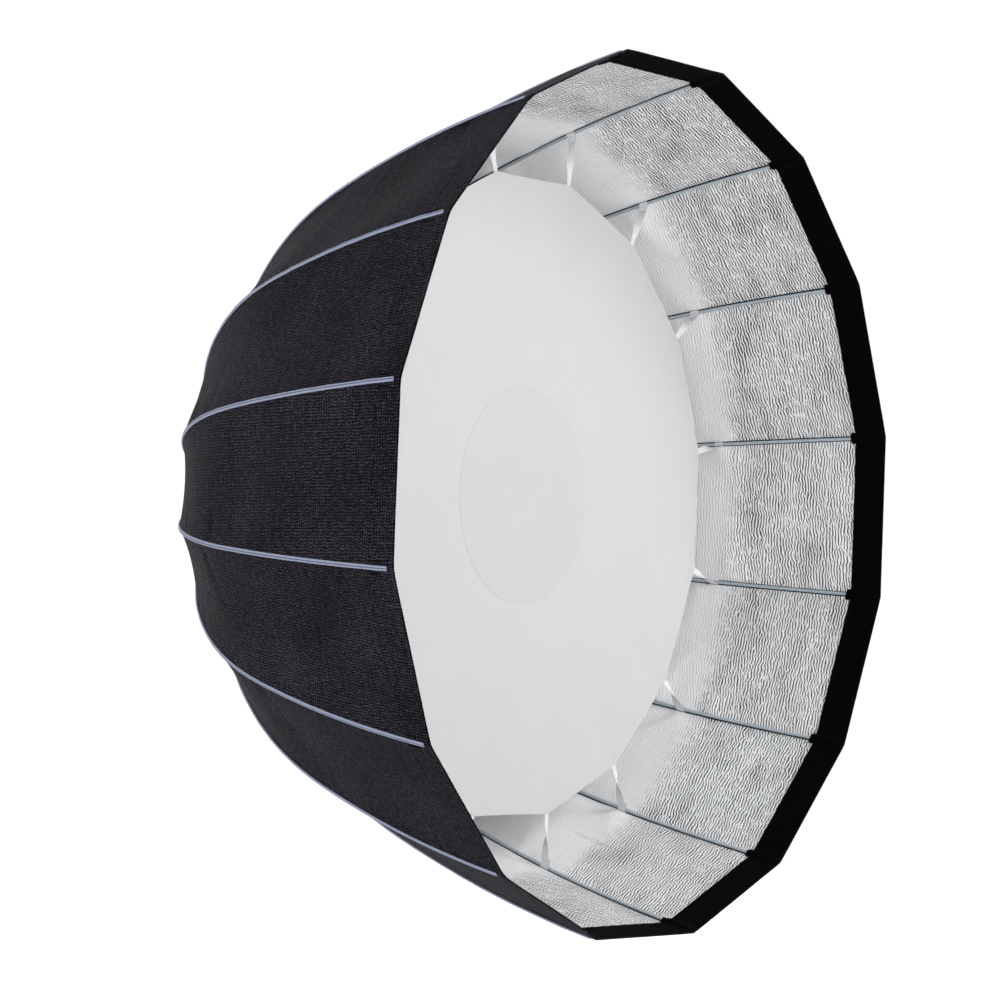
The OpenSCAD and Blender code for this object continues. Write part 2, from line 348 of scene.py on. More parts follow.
def fabric_black():
    m = Nodes("black_nylon")
    uv = m.uv()
    # Short raised dashes run along the rib, a few millimetres apart, over a finer woven grid; the dashes are also
    # painted lighter than the cloth between them, a painted highlight.
    dash = m.stripes(uv, 0, 0.0040, (0.014, 0.0070), 5.5, 1.0)
    cross = m.stripes(uv, 1, 0.0047, (0.0080, 0.016), 5.0, 1.0)
    broken = m.noise(m.mapped(uv, (170, 110, 1)), 1.0, 2.0)
    grain = m.math("ADD", m.math("MULTIPLY", dash, 0.55), m.math("MULTIPLY", cross, 0.45))
    warp = m.wave(uv, 0.314 / 0.0012, "X", 0.6, 1.0, 2)
    weft = m.wave(uv, 0.314 / 0.0012, "Y", 0.6, 1.0, 2)
    weave = m.math("MAXIMUM", m.math("MULTIPLY", warp, 0.85), weft)
    cloud = m.noise(m.mapped(uv, (9, 6, 1)), 1.0, 3.0)
    # painted highlight: the raised dashes are painted lighter in the colour
    tone = m.math("ADD", m.math("MULTIPLY", grain, 0.55), m.math("MULTIPLY", broken, 0.55))
    # painted sheen: broad cloudy patches are painted lighter and darker in the colour
    tone = m.math("ADD", tone, m.math("MULTIPLY", m.math("SUBTRACT", cloud, 0.5), 0.35))
    m.set(color=m.ramp(tone, (0.34, (0.0014, 0.0013, 0.0024)), (0.52, (0.0050, 0.0047, 0.0076)), (0.66, (0.0200, 0.0192, 0.0265)), (0.82, (0.060, 0.058, 0.074))),
          rough=m.span(cloud, 0.50, 0.66), spec=0.035)
    coarse = m.bump(m.math("ADD", grain, m.math("MULTIPLY", broken, 0.6)), 0.0014, 1.0)
    m.set(normal=m.bump(weave, 0.00018, 0.6, coarse))
    return m.mat


def lip_black():
    m = Nodes("lip_loop_fabric")
    uv = m.uv()
    n = m.noise(m.mapped(uv, (1500, 1500, 1)), 1.0, 2.0)
    m.set(color=m.ramp(n, (0.3, (0.0008, 0.0008, 0.0009)), (0.75, (0.0020, 0.0020, 0.0023))), rough=0.98, spec=0.04,
          normal=m.bump(n, 0.0003, 0.6))
    return m.mat


def silver():
    m = Nodes("crinkled_silver")
    uv = m.uv()
    # The crinkle runs across the panel in thin, wavy lines between 4 and 5 mm apart along the rib, broken up in
    # patches. The lines are painted dark in their valleys and light on their ridges, painted shade and painted
    # highlight over the bump.
    ridge = m.stripes(uv, 1, 0.0044, (0.0085, 0.024), 5.0, 1.4)
    ridge2 = m.stripes(m.mapped(uv, (1, 1, 1), (0, 0, math.radians(9))), 1, 0.0040, (0.0070, 0.017), 5.6, 1.4)
    pick = m.noise(m.mapped(uv, (52, 80, 1)), 1.0, 2.0)
    sel = m.ramp(pick, (0.42, (0, 0, 0)), (0.58, (1, 1, 1)))
    inv = m.math("SUBTRACT", 1.0, sel)
    h = m.math("ADD", m.math("MULTIPLY", ridge, sel), m.math("MULTIPLY", ridge2, inv))
    small = m.noise(m.mapped(uv, (330, 700, 1)), 1.0, 2.0)
    h = m.math("ADD", m.math("MULTIPLY", h, 0.84), m.math("MULTIPLY", small, 0.32))
    # beside the inner diffuser it is drawn smoother and painted lighter, a painted wash of light
    sep = m.t.nodes.new("ShaderNodeSeparateXYZ")
    m.t.links.new(uv, sep.inputs[0])
    fade = m.t.nodes.new("ShaderNodeMapRange")
    fade.interpolation_type = "SMOOTHSTEP"
    m.t.links.new(sep.outputs[1], fade.inputs[0])
    fade.inputs[1].default_value, fade.inputs[2].default_value = 0.638, 0.706
    fade.inputs[3].default_value, fade.inputs[4].default_value = 0.45, 1.0
    patchy = m.noise(m.mapped(uv, (15, 19, 1)), 1.0, 2.0)
    amount = m.math("MULTIPLY", fade.outputs[0], m.span(patchy, 0.55, 1.50))
    # random patches painted darker, a painted shade on the foil
    shade_patch_noise = m.noise(m.mapped(uv, (11, 26, 1), (0, 0, math.radians(20))), 1.0, 2.0)
    low = m.ramp(shade_patch_noise, (0.50, (0, 0, 0)), (0.70, (1, 1, 1)))
    tone = m.math("ADD", m.math("MULTIPLY", m.math("SUBTRACT", h, 0.66), amount), 0.66)
    # painted shade: the patches darken the colour
    tone = m.math("SUBTRACT", tone, m.math("MULTIPLY", m.math("MULTIPLY", low, amount), 0.16))
    # painted highlight: the band beside the inner diffuser is painted lighter
    tone = m.math("ADD", tone, m.math("MULTIPLY", m.math("SUBTRACT", 1.0, fade.outputs[0]), 0.34))
    # painted shade and highlight: the ramp paints the crinkle's valleys near black and its ridges near white
    m.set(color=m.ramp(tone, (0.13, (0.020, 0.020, 0.022)), (0.36, (0.21, 0.21, 0.215)), (0.56, (0.84, 0.84, 0.845)), (0.80, (0.985, 0.985, 0.99))),
          metal=0.22, rough=m.span(small, 0.36, 0.48), spec=0.7)
    n = m.t.nodes.new("ShaderNodeBump")
    n.inputs["Distance"].default_value = 0.0011
    m.t.links.new(m.math("MINIMUM", amount, 1.0), n.inputs["Strength"])
    m.t.links.new(h, n.inputs["Height"])
    m.set(normal=n.outputs[0])
    return m.mat


def trim():
    m = Nodes("blue_grey_piping")
    uv = m.uv()
    twill = m.wave(m.mapped(uv, (1, 1, 1), (0, 0, math.radians(38))), 0.314 / 0.0013, "X", 0.4, 1.0, 2)
    cloud = m.noise(m.mapped(uv, (60, 60, 1)), 1.0, 2.0)
    sep = m.t.nodes.new("ShaderNodeSeparateXYZ")
    m.t.links.new(uv, sep.inputs[0])
    # the two rolled edges are painted lighter where they would catch the light, a painted highlight, and the stitched
    # channel between them is painted darker, a painted shade
    off = m.math("ABSOLUTE", sep.outputs[0])
    channel_shade_edge_light = m.t.nodes.new("ShaderNodeMapRange")
    channel_shade_edge_light.interpolation_type = "SMOOTHSTEP"
    m.t.links.new(off, channel_shade_edge_light.inputs[0])
    channel_shade_edge_light.inputs[1].default_value, channel_shade_edge_light.inputs[2].default_value = 0.00025, 0.00110
    tone = m.math("ADD", m.math("MULTIPLY", twill, 0.18), m.math("MULTIPLY", cloud, 0.22))
    # painted highlight on the rolled edges and painted shade in the stitched channel
    tone = m.math("ADD", tone, m.math("MULTIPLY", channel_shade_edge_light.outputs[0], 0.60))
    m.set(color=m.ramp(tone, (0.15, (0.055, 0.065, 0.105)), (0.55, (0.195, 0.225, 0.325)), (0.92, (0.345, 0.390, 0.540))),
          rough=0.66, spec=0.3, sheen=0.12, sheen_rough=0.5, normal=m.bump(twill, 0.0002, 0.7))
    return m.mat


def white_cloth(name, lo, hi, bump=0.5):
    m = Nodes(name)
    uv = m.uv()
    a = m.wave(m.mapped(uv, (1, 1, 1)), 0.5 / 0.0009, "X", 0.5, 1.0, 10)
    b = m.wave(m.mapped(uv, (1, 1, 1)), 0.5 / 0.0009, "Y", 0.5, 1.0, 10)
    weave = m.math("MAXIMUM", a, b)
    cloud = m.noise(m.mapped(uv, (7, 7, 1)), 1.0, 2.0)
    m.set(color=m.ramp(m.math("ADD", m.math("MULTIPLY", weave, 0.3), m.math("MULTIPLY", cloud, 0.7)), (0.2, lo), (0.9, hi)),
          rough=0.85, spec=0.25, normal=m.bump(weave, 0.0001, bump))
    return m.mat


def webbing():
    m = Nodes("white_webbing")
    uv = m.uv()
    rib = m.wave(m.mapped(uv, (1, 1, 1), (0, 0, math.radians(45))), 0.5 / 0.0016, "X", 0.3, 1.0, 10)
    m.set(color=m.ramp(rib, (0.1, (0.70, 0.70, 0.72)), (0.9, (0.84, 0.84, 0.86))), rough=0.7, spec=0.3, normal=m.bump(rib, 0.00025, 0.7))
    return m.mat


def rod_coat():
    m = Nodes("rod_coat")
    o = m.obj()
    n = m.noise(o, 260.0, 3.0)
    m.set(color=m.ramp(n, (0.35, (0.40, 0.47, 0.53)), (0.75, (0.52, 0.60, 0.66))), metal=0.25,
          rough=m.span(n, 0.28, 0.42), spec=0.6, normal=m.bump(m.noise(o, 900.0, 2.0), 0.00006, 0.5))
    return m.mat


def moulded(name, lo, hi):
    m = Nodes(name)
    o = m.obj()
    grain = m.noise(o, 1400.0, 2.0)
    cloud = m.noise(o, 40.0, 3.0)
    m.set(color=m.ramp(cloud, (0.3, lo), (0.75, hi)), rough=m.span(cloud, 0.42, 0.58), spec=0.45,
          normal=m.bump(grain, 0.0001, 0.6))
    return m.mat


def turned(name, colour, rough):
    m = Nodes(name)
    c = m.t.nodes.new("ShaderNodeTexCoord")
    sep = m.t.nodes.new("ShaderNodeSeparateXYZ")
    m.t.links.new(c.outputs["Object"], sep.inputs[0])
    x, y, z = sep.outputs
    r = m.math("SQRT", m.math("ADD", m.math("MULTIPLY", x, x), m.math("MULTIPLY", z, z)))
    comb = m.t.nodes.new("ShaderNodeCombineXYZ")
    m.t.links.new(r, comb.inputs[0])
    m.t.links.new(y, comb.inputs[1])
    lines = m.noise(m.mapped(comb.outputs[0], (2600, 2600, 1)), 1.0, 2.0)
    cloud = m.noise(m.obj(), 30.0, 3.0)
    m.set(color=m.ramp(cloud, (0.3, tuple(0.88 * v for v in colour)), (0.75, colour)), metal=1.0,
          rough=m.span(lines, rough - 0.07, rough + 0.09), normal=m.bump(lines, 0.00004, 0.5))
    return m.mat


M_FABRIC, M_LIP, M_SILVER, M_TRIM = fabric_black(), lip_black(), silver(), trim()
M_DIFF = white_cloth("diffuser_cloth", (0.53, 0.53, 0.53), (0.555, 0.555, 0.555))
M_PATCH = white_cloth("diffuser_patch_cloth", (0.515, 0.515, 0.515), (0.54, 0.54, 0.54))
M_STRAP, M_ROD = webbing(), rod_coat()
M_PLASTIC = moulded("moulded_black", (0.012, 0.012, 0.013), (0.022, 0.022, 0.024))
M_SOCKET = moulded("moulded_socket", (0.016, 0.016, 0.018), (0.028, 0.028, 0.031))
M_NYLON = moulded("natural_nylon", (0.62, 0.59, 0.50), (0.72, 0.69, 0.60))
M_ALU = turned("turned_aluminium", (0.74, 0.75, 0.77), 0.30)
M_STEEL = turned("plated_steel", (0.56, 0.56, 0.58), 0.26)


# ---------------------------------------------------------------- the sewn skin
W_RIM = float((mid(TOTAL)[0] + SKIN_OFF) * SIN_H)
S0, S_FIX = 0.018, TOTAL - 0.040
T_LINE = TOTAL - LIP_W


def displace(g, s, v):
    """How far the panel lies off its flat shape: it draws in a little between the ribs, puckers at the seams and has broad, soft folds."""
    w = mid(s)[..., 0] * SIN_H
    edge = (1 - np.abs(v)) * w
    hold = smooth((s - 0.06) / 0.22) * smooth((TOTAL - 0.012 - s) / 0.20)
    sag = -0.0050 * (1 - v * v) * hold
    side = np.where(v > 0, 1.0, -1.0)
    tension = np.exp(-edge / 0.030) * (1 - np.exp(-(edge / 0.010) ** 2))
    wander = noise2(s / 0.09, side * 3.0 + g * 2.0, 5.0) * 2.2
    pucker = 0.0011 * tension * np.sin(2 * math.pi * (s / 0.034) + wander + g) * (0.6 + 0.4 * noise2(s / 0.15, side + g, 9.0))
    u = v * w
    a = noise2((s * 0.86 + u * 0.55) / 0.115, (u * 0.86 - s * 0.55) / 0.30, g + 21.0)
    b = noise2((s * 0.80 - u * 0.62) / 0.070, (u * 0.80 + s * 0.62) / 0.22, g + 43.0)
    inside = 1 - v ** 6
    broad = (0.0030 * a + 0.0012 * b) * inside * smooth((s - 0.05) / 0.08)
    lip = 1 - 0.75 * smooth((s - T_LINE + 0.03) / 0.03)
    # a few pleats start at each seam and die out towards the middle of the panel
    pleat = 0
    for i in range(5):
        h = hash01(g * 31 + i * 7 + np.where(v > 0, 0, 101) + 3)
        h2 = hash01(g * 17 + i * 13 + np.where(v > 0, 0, 57) + 9)
        at = 0.16 + 0.66 * h + (h2 - 0.5) * 0.9 * edge
        deep = 0.0010 + 0.0019 * h2
        wide = 0.0085 + 0.009 * h
        pleat = pleat - deep * np.exp(-((s - at) / wide) ** 2) * np.exp(-edge / (0.030 + 0.05 * h2)) * (1 - np.exp(-(edge / 0.006) ** 2))
    stitch = -0.00055 * (np.exp(-((s - T_LINE) / 0.0011) ** 2) + 0.7 * np.exp(-((s - TOTAL + 0.0070) / 0.0010) ** 2)) * (edge > 0.004)
    return (sag + pucker + broad + pleat) * lip + stitch


KIND, PARAM = [], []
for s in list(np.linspace(S0, 0.12, 15)) + list(np.linspace(0.12, T_LINE - 0.004, 156))[1:]:
    KIND.append(0), PARAM.append(s)
for d in (-0.0022, -0.0011, 0, 0.0011, 0.0022, 0.0048, 0.010, 0.017, 0.024, 0.031, 0.0358, 0.0370, 0.0380, 0.0390, 0.0402, 0.0426, 0.045):
    KIND.append(0), PARAM.append(T_LINE + d)
for b in (60, 30, 0, -30, -60):
    KIND.append(1), PARAM.append(math.radians(b))
for a in (0, 0.12, 0.3, 0.5, 0.7, 0.86, 0.95, 1.0):
    KIND.append(2), PARAM.append(a)
KIND, PARAM = np.array(KIND), np.array(PARAM)
J = len(KIND)


def row_so(j, v, g, layer):
    """Distance along the rib and height off its centreline, for row j at panel coordinate v. Layer 0 is the outside."""
    k, a = KIND[j], PARAM[j]
    near = np.exp(-(((1 - np.abs(v)) * W_RIM) / 0.0075) ** 2)
    fold_t = SKIN_T + LIP_T + 0.0003 + 0.0009 * near
    s_c = TOTAL - fold_t / 2
    # the lip stands off beside each seam, where the rod's tip sits in its pocket
    thick = fold_t + np.where(k == 2, 0.0046 * near * smooth(a * LIP_W / 0.0095), 0)
    s = np.where(k == 0, np.where(a <= S_FIX, a, S_FIX + (a - S_FIX) / (TOTAL - S_FIX) * (s_c - S_FIX)),
                 np.where(k == 1, s_c, s_c - a * (s_c - T_LINE)))
    top = clear_of(s) + SKIN_T + displace(g, s, v)
    skin = top - (SKIN_T if layer else 0)
    th = LIP_T + (SKIN_T - LIP_T) * np.clip(0.5 + a / math.pi, 0, 1)
    rad = thick / 2 - (th if layer else 0)
    nose_s, nose_o = s + rad * np.cos(a), top - thick / 2 + rad * np.sin(a)
    round_off = np.where(a > 0.93, 0.00025 * ((a - 0.93) / 0.07) ** 2, 0)
    band = top - thick + (LIP_T - round_off if layer else round_off)
    return np.where(k == 1, nose_s, s), np.where(k == 0, skin, np.where(k == 1, nose_o, band))


def skin_point(g, j, v, layer):
    s, off = row_so(j, v, g, layer)
    a, m = ang(s), mid(s)
    r, y = m[..., 0] + off * np.cos(a), m[..., 1] + off * np.sin(a)
    rho, t = r * COS_H, v * r * SIN_H
    c, q = math.cos(gore_angle(g)), math.sin(gore_angle(g))
    return np.stack([rho * c - t * q, y, rho * q + t * c], -1), t, s


def beyond(p, k):
    """Above 0 where, once rib k has folded, point p would lie past the middle of its panel."""
    c, q = math.cos(rib_angle(k)), math.sin(rib_angle(k))
    x = p[..., 0] * c + p[..., 2] * q
    y = np.abs(p[..., 0] * q - p[..., 2] * c)
    x1 = P0[0] + (x - P0[0]) * math.cos(FOLD) + (p[..., 1] - P0[1]) * math.sin(FOLD)
    return y - TAN_H * x1


def cut_at(g, k, sign, layer):
    """For each row, the panel coordinate at which the fold cuts it, or 0 where it doesn't."""
    j = np.arange(J)
    lo, hi = np.zeros(J), np.full(J, float(sign))
    needed = beyond(skin_point(g, j, lo, layer)[0], k) > 0
    for _ in range(34):
        m = (lo + hi) / 2
        past = beyond(skin_point(g, j, m, layer)[0], k) > 0
        lo, hi = np.where(past, m, lo), np.where(past, hi, m)
    return np.where(needed, (lo + hi) / 2, 0.0)


def patch(g, v, layer):
    """Points, normals and UVs of the panel for a rows x columns array of panel coordinates."""
    j = np.arange(J)[:, None] + np.zeros_like(v, int)
    p, t, s = skin_point(g, j, v, layer)
    dv = 0.004
    va, vb = np.clip(v - dv, -1, 1), np.clip(v + dv, -1, 1)
    across = (skin_point(g, j, vb, layer)[0] - skin_point(g, j, va, layer)[0])
    ja, jb = np.maximum(j - 1, 0), np.minimum(j + 1, J - 1)
    down = skin_point(g, jb, v, layer)[0] - skin_point(g, ja, v, layer)[0]
    n = unit(np.cross(across, down))
    c, q = math.cos(gore_angle(g)), math.sin(gore_angle(g))
    if n[20, 0, 0] * c + n[20, 0, 2] * q < 0:
        n = -n
    if layer:
        n = -n
    uv = np.stack([t + 0.30 * g, s + np.where(KIND[j] == 2, 1.2, 0.0)], -1)
    return p, n, uv


ROW_MAT_OUT = [2 if KIND[i] == 2 or KIND[i + 1] == 2 else 0 for i in range(J - 1)]
ROW_MAT_IN = [1 if KIND[i + 1] == 0 else 2 for i in range(J - 1)]
W_ROW = np.where(KIND == 0, mid(np.where(KIND == 0, PARAM, TOTAL))[:, 0] * SIN_H, W_RIM)
DARK_STRIP = 0.0036 / W_ROW


def facing(P, Nn, flip=False):
    """True if a grid's faces, as add in order, face against its normals."""
    a, b = P[20, 1] - P[20, 0], P[21, 0] - P[20, 0]
    if np.linalg.norm(np.cross(a, b)) < 1e-14:
        a, b = P[60, 1] - P[60, 0], P[61, 0] - P[60, 0]
        return np.dot(np.cross(a, b), Nn[60, 0]) < 0
    return np.dot(np.cross(a, b), Nn[20, 0]) < 0


def sheet_part(b, g, v_out, v_in, walls, dark_strip=False):
    """Adds one part of panel g: its two faces, its ends, and a wall at each column named in walls."""
    po, no, uo = patch(g, v_out, 0)
    pi, ni, ui = patch(g, v_in, 1)
    b.grid(po, no, uo, ROW_MAT_OUT, facing(po, no))
    inside = np.repeat(np.array(ROW_MAT_IN)[:, None], v_in.shape[1] - 1, 1)
    if dark_strip:
        inside[:, -1] = 2
    b.grid(pi, ni, ui, inside, facing(pi, ni))
    for col in walls:
        P = np.stack([po[:, col], pi[:, col]], 1)
        b.grid(P, None, np.stack([uo[:, col], ui[:, col]], 1), 0, flip=wall_flip(P, po, col))
    for row, m in ((0, 0), (J - 1, 2)):
        P = np.stack([po[row], pi[row]], 0)
        inner = 1 if row == 0 else J - 2
        away = po[row].mean(0) - po[inner].mean(0)
        a = np.cross(P[0, 1] - P[0, 0], P[1, 0] - P[0, 0])
        if np.linalg.norm(a) < 1e-16:
            a = np.cross(P[0, -1] - P[0, -2], P[1, -2] - P[0, -2])
        b.grid(P, None, np.stack([uo[row], ui[row]], 0), m, flip=np.dot(a, away) < 0)


def wall_flip(P, po, col):
    other = 1 if col == 0 else po.shape[1] - 2
    r = 90
    away = po[r, col] - po[r, other]
    return np.dot(np.cross(P[r, 1] - P[r, 0], P[r + 1, 0] - P[r, 0]), away) < 0


K_STRIP, K_WEDGE = 7, 11
cuts = {}
for layer in (0, 1):
    for g in range(N):
        cuts[g, 0, layer] = cut_at(g, g, 1, layer)
        cuts[g, 1, layer] = cut_at(g, (g + 1) % N, -1, layer)

body_of_rib = ["rib_%02d" % (k + 1) for k in range(N)]
skin_pieces = []


def spread(a, b, n):
    e = np.linspace(0, 1, n)
    return a[:, None] + (b - a)[:, None] * e[None]


def to_seam(cut, sign):
    """Columns from the fold's cut to the seam, the last of them a dark strip along the seam inside."""
    v = spread(cut, sign * (1 - DARK_STRIP), K_STRIP)
    return np.concatenate([v, np.full((J, 1), sign)], 1)


def finish_sheet(ob):
    me = ob.data
    co = np.empty(len(me.vertices) * 3)
    me.vertices.foreach_get("co", co)
    co = co.reshape(-1, 3)
    used = co.max(0) - co.min(0)


for k in range(N):
    b = Builder()
    for g, side in ((k, 0), ((k - 1) % N, 1)):
        sign = 1.0 if side == 0 else -1.0
        sheet_part(b, g, to_seam(cuts[g, side, 0], sign), to_seam(cuts[g, side, 1], sign), [0], dark_strip=True)
    ob = b.build("skin_rib_%02d" % (k + 1), [M_FABRIC, M_SILVER, M_LIP])
    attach(ob, body_of_rib[k])
    skin_pieces.append((ob, k))
    for g, side, tag in ((k, 0, "a"), ((k - 1) % N, 1, "b")):
        b = Builder()
        vo = spread(np.zeros(J), cuts[g, side, 0], K_WEDGE)
        vi = spread(np.zeros(J), cuts[g, side, 1], K_WEDGE)
        sheet_part(b, g, vo, vi, [0, K_WEDGE - 1])
        ob = b.build("skin_fold_%02d%s" % (k + 1, tag), [M_FABRIC, M_SILVER, M_LIP])
        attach(ob, body_of_rib[k])
        turn = 1.0 if side == 0 else -1.0
        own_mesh(ob)
        skin_pieces.append((ob, k))
    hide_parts("gore_%02d" % (k + 1))
for ob, k in skin_pieces:
    finish_sheet(ob)


# ---------------------------------------------------------------- swept trims on the ribs
def sweep(b, s, section, mat, lift=None, cap=True, across=False):
    """section: points (across, height) in order; lift gives the height of its zero off the rod's centreline."""
    s = np.asarray(s, float)
    a, m = ang(s), mid(s)
    sec = np.asarray(section, float)
    if sec.ndim == 2:
        sec = np.repeat(sec[None], len(s), 0)
    h = sec[..., 1] + (0 if lift is None else np.asarray(lift)[:, None])
    P = np.stack([m[:, 0, None] + h * np.cos(a)[:, None], sec[..., 0], m[:, 1, None] + h * np.sin(a)[:, None]], -1)
    dj = np.gradient(P, axis=0)
    dc = np.roll(P, -1, 1) - np.roll(P, 1, 1)
    n = unit(np.cross(dc, dj))
    c = P.mean(1, keepdims=True)
    if ((P - c) * n).sum() < 0:
        n = -n
    per = np.concatenate([np.zeros((len(s), 1)), np.cumsum(np.linalg.norm(np.diff(P, axis=1), axis=2), 1)], 1)
    uv = np.stack([sec[..., 0] if across else per, np.repeat(s[:, None], P.shape[1], 1)], -1)
    flip = np.dot(np.cross(P[1, 1] - P[1, 0], P[2, 0] - P[1, 0]), n[1, 0]) < 0
    b.grid(P, n, uv, mat, flip, closed=True)
    if cap:
        for row in (0, -1):
            q = P[row]
            away = P[row].mean(0) - P[1 if row == 0 else -2].mean(0)
            mean = q.mean(0)
            pts = np.concatenate([q, mean[None]])
            fs = [(i, (i + 1) % len(q), len(q)) for i in range(len(q))]
            if np.dot(np.cross(q[1] - q[0], mean - q[0]), away) < 0:
                fs = [(f[1], f[0], f[2]) for f in fs]
            b.add(pts, fs, None, np.concatenate([uv[row], uv[row][:1]]), mat)


def to_rib(b, k):
    """Turns a builder's points and normals from the rib's own axes to the row frame."""
    phi = rib_angle(k)
    b.v = [place(p, phi) for p in b.v]
    b.n = [place(n, phi) for n in b.n]


def piping_section(s):
    y = np.array([-3.1, -2.93, -2.45, -1.85, -1.25, -0.65, -0.25, 0, 0.25, 0.65, 1.25, 1.85, 2.45, 2.93, 3.1]) * 1e-3
    u = (np.abs(y) - 0.00152) / 0.0016
    top = 0.00025 + 0.00180 * np.sqrt(np.clip(1 - u * u, 0, 1)) - np.abs(y) * TAN_H
    # the stitches down the middle pull the tape in
    pull = 0.00022 * (0.5 + 0.5 * np.sin(2 * math.pi * s / 0.0042))[:, None] * np.exp(-(y / 0.0007) ** 2)
    roll = 0.00022 * noise2(s / 0.021, s * 0 + 3, 2.0)[:, None]
    upper = np.stack([np.repeat(y[None], len(s), 0) + roll * 0.8, top[None] - pull + roll], -1)
    lower = np.array([[2.7, -1.15], [1.0, -0.8], [-1.0, -0.8], [-2.7, -1.15]]) * 1e-3
    return np.concatenate([upper, np.repeat(lower[None], len(s), 0)], 1)


s_pipe = np.concatenate([np.linspace(S0 - 0.0005, 0.12, 60), np.linspace(0.12, TOTAL - 0.0115, 520)[1:]])
s_rod = np.concatenate([[0.0105, 0.011], np.linspace(0.014, TOTAL - 0.0112, 90), [TOTAL - 0.0103, TOTAL - 0.010]])
circle = np.stack([np.cos(np.linspace(0, 2 * math.pi, 17)[:-1]), np.sin(np.linspace(0, 2 * math.pi, 17)[:-1])], -1)
for k in range(N):
    b = Builder()
    sec = piping_section(s_pipe)
    ends = smooth((s_pipe - s_pipe[0]) / 0.0015) * smooth((s_pipe[-1] - s_pipe) / 0.0015)
    sec = sec * (0.55 + 0.45 * ends)[:, None, None]
    sweep(b, s_pipe, sec, 0, clear_of(s_pipe) + SKIN_T, across=True)
    # two short bars of thread beside its end hold the pocket that the rod's tip sits in
    s_bar = np.linspace(T_LINE - 0.001, T_LINE + 0.021, 34)
    for turn in (-1, 1):
        for line in (0.0076, 0.0089):
            wave = 0.00012 * np.sin(2 * math.pi * s_bar / 0.0021)
            bar = np.array([[-0.45, -0.5], [-0.42, 0.10], [-0.2, 0.28], [0.2, 0.28], [0.42, 0.10], [0.45, -0.5]]) * 1e-3
            sec2 = np.repeat(bar[None], len(s_bar), 0)
            sec2[..., 0] += turn * line
            sec2[..., 1] += wave[:, None] - line * TAN_H + displace(k, s_bar, np.full(len(s_bar), 1 - line / W_RIM))[:, None]
            sweep(b, s_bar, sec2, 1, clear_of(s_bar) + SKIN_T)
    to_rib(b, k)
    ob = b.build("piping_%02d" % (k + 1), [M_TRIM, M_LIP])
    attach(ob, body_of_rib[k])

    b = Builder()
    size = np.full(len(s_rod), ROD_D / 2)
    size[[0, -1]] *= 0.72
    sweep(b, s_rod, circle[None] * size[:, None, None], 0)
    to_rib(b, k)
    ob = b.build("rod_%02d" % (k + 1), [M_ROD])
    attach(ob, body_of_rib[k])
    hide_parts("rib_rod_%02d" % (k + 1))

    # a small black pocket that the rod slides into, just behind the lip
    b = Builder()
    s_p = T_LINE + np.array([-0.0070, -0.0067, -0.0052, -0.0025, 0.0005, 0.004])
    outer = np.array([[-8.6, 1.55], [-7.4, 0.95], [-5.2, 0.2], [-3.5, -1.5], [-2.0, -2.8], [0, -3.15], [2.0, -2.8], [3.5, -1.5],
                      [5.2, 0.2], [7.4, 0.95], [8.6, 1.55]])
    inner = np.array([[7.6, 1.65], [4.6, 1.0], [3.0, -1.0], [1.7, -2.25], [0, -2.55], [-1.7, -2.25], [-3.0, -1.0], [-4.6, 1.0], [-7.6, 1.65]])
    sec = np.repeat((np.concatenate([outer, inner]) * 1e-3)[None], len(s_p), 0)
    sec[0, :, 1] += 0.0002
    sweep(b, s_p, sec, 0, cap=False)
    ring = len(outer) + len(inner)
    to_rib(b, k)
    # close both ends of the hollow section
    pts = b.v[0].reshape(len(s_p), ring, 3)
    for row, other in ((0, 1), (len(s_p) - 1, len(s_p) - 2)):
        q = pts[row]
        away = pts[row].mean(0) - pts[other].mean(0)
        no = len(outer)
        pairs = [(i, ring - 1 - max(0, min(i - 1, no - 3))) for i in range(no)]
        fs = []
        for (a0, b0), (a1, b1) in zip(pairs, pairs[1:]):
            fs.append((a0, a1, b1, b0) if b0 != b1 else (a0, a1, b0))
        good = []
        for f in fs:
            nn = np.cross(q[f[1]] - q[f[0]], q[f[2]] - q[f[0]])
            good.append(f if np.dot(nn, away) > 0 else f[::-1])
        b.add(q, good, None, np.zeros((ring, 2)), 0)
    ob = b.build("tip_pocket_%02d" % (k + 1), [M_LIP])
    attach(ob, body_of_rib[k])


# ---------------------------------------------------------------- the collar between the cuff and the panels
def closed_strip(b, top, low, uv, mat_top, mat_low, facing_up):
    """A thin solid between two grids of points, rows x columns, with flat walls. facing_up: a direction the top faces."""
    for P, m, sgn in ((top, mat_top, 1), (low, mat_low, -1)):
        raw = np.cross(np.gradient(P, axis=1), np.gradient(P, axis=0))
        n = unit(raw)
        want = sgn * np.asarray(facing_up, float)
        if (n * want).sum() < 0:
            n = -n
        n = np.where(np.linalg.norm(raw, axis=-1, keepdims=True) < 1e-12, unit(want), n)
        r, c = P.shape[0] // 2, P.shape[1] // 2
        f = np.cross(P[r, c] - P[r, c - 1], P[r, c - 1] - P[r - 1, c - 1])
        b.grid(P, n, uv, m, flip=np.dot(f, n[r, c - 1]) < 0)
    for line_t, line_l, in_t, u in ((top[:, 0], low[:, 0], top[:, 1], uv[:, 0]), (top[:, -1], low[:, -1], top[:, -2], uv[:, -1]),
                                    (top[0], low[0], top[1], uv[0]), (top[-1], low[-1], top[-2], uv[-1])):
        P = np.stack([line_t, line_l], 1)
        i = len(P) // 2
        away = line_t[i] - in_t[i]
        f = np.cross(P[i, 1] - P[i - 1, 0], P[i, 0] - P[i - 1, 1])
        if np.linalg.norm(f) < 1e-14:
            f = np.array([0, 0, 1.0])
        # grid() winds a, a+1, next+1, next
        g = np.cross(P[i - 1, 1] - P[i - 1, 0], P[i, 0] - P[i - 1, 0])
        b.grid(P, None, np.stack([u, u], 1), mat_top, flip=np.dot(g, away) < 0)


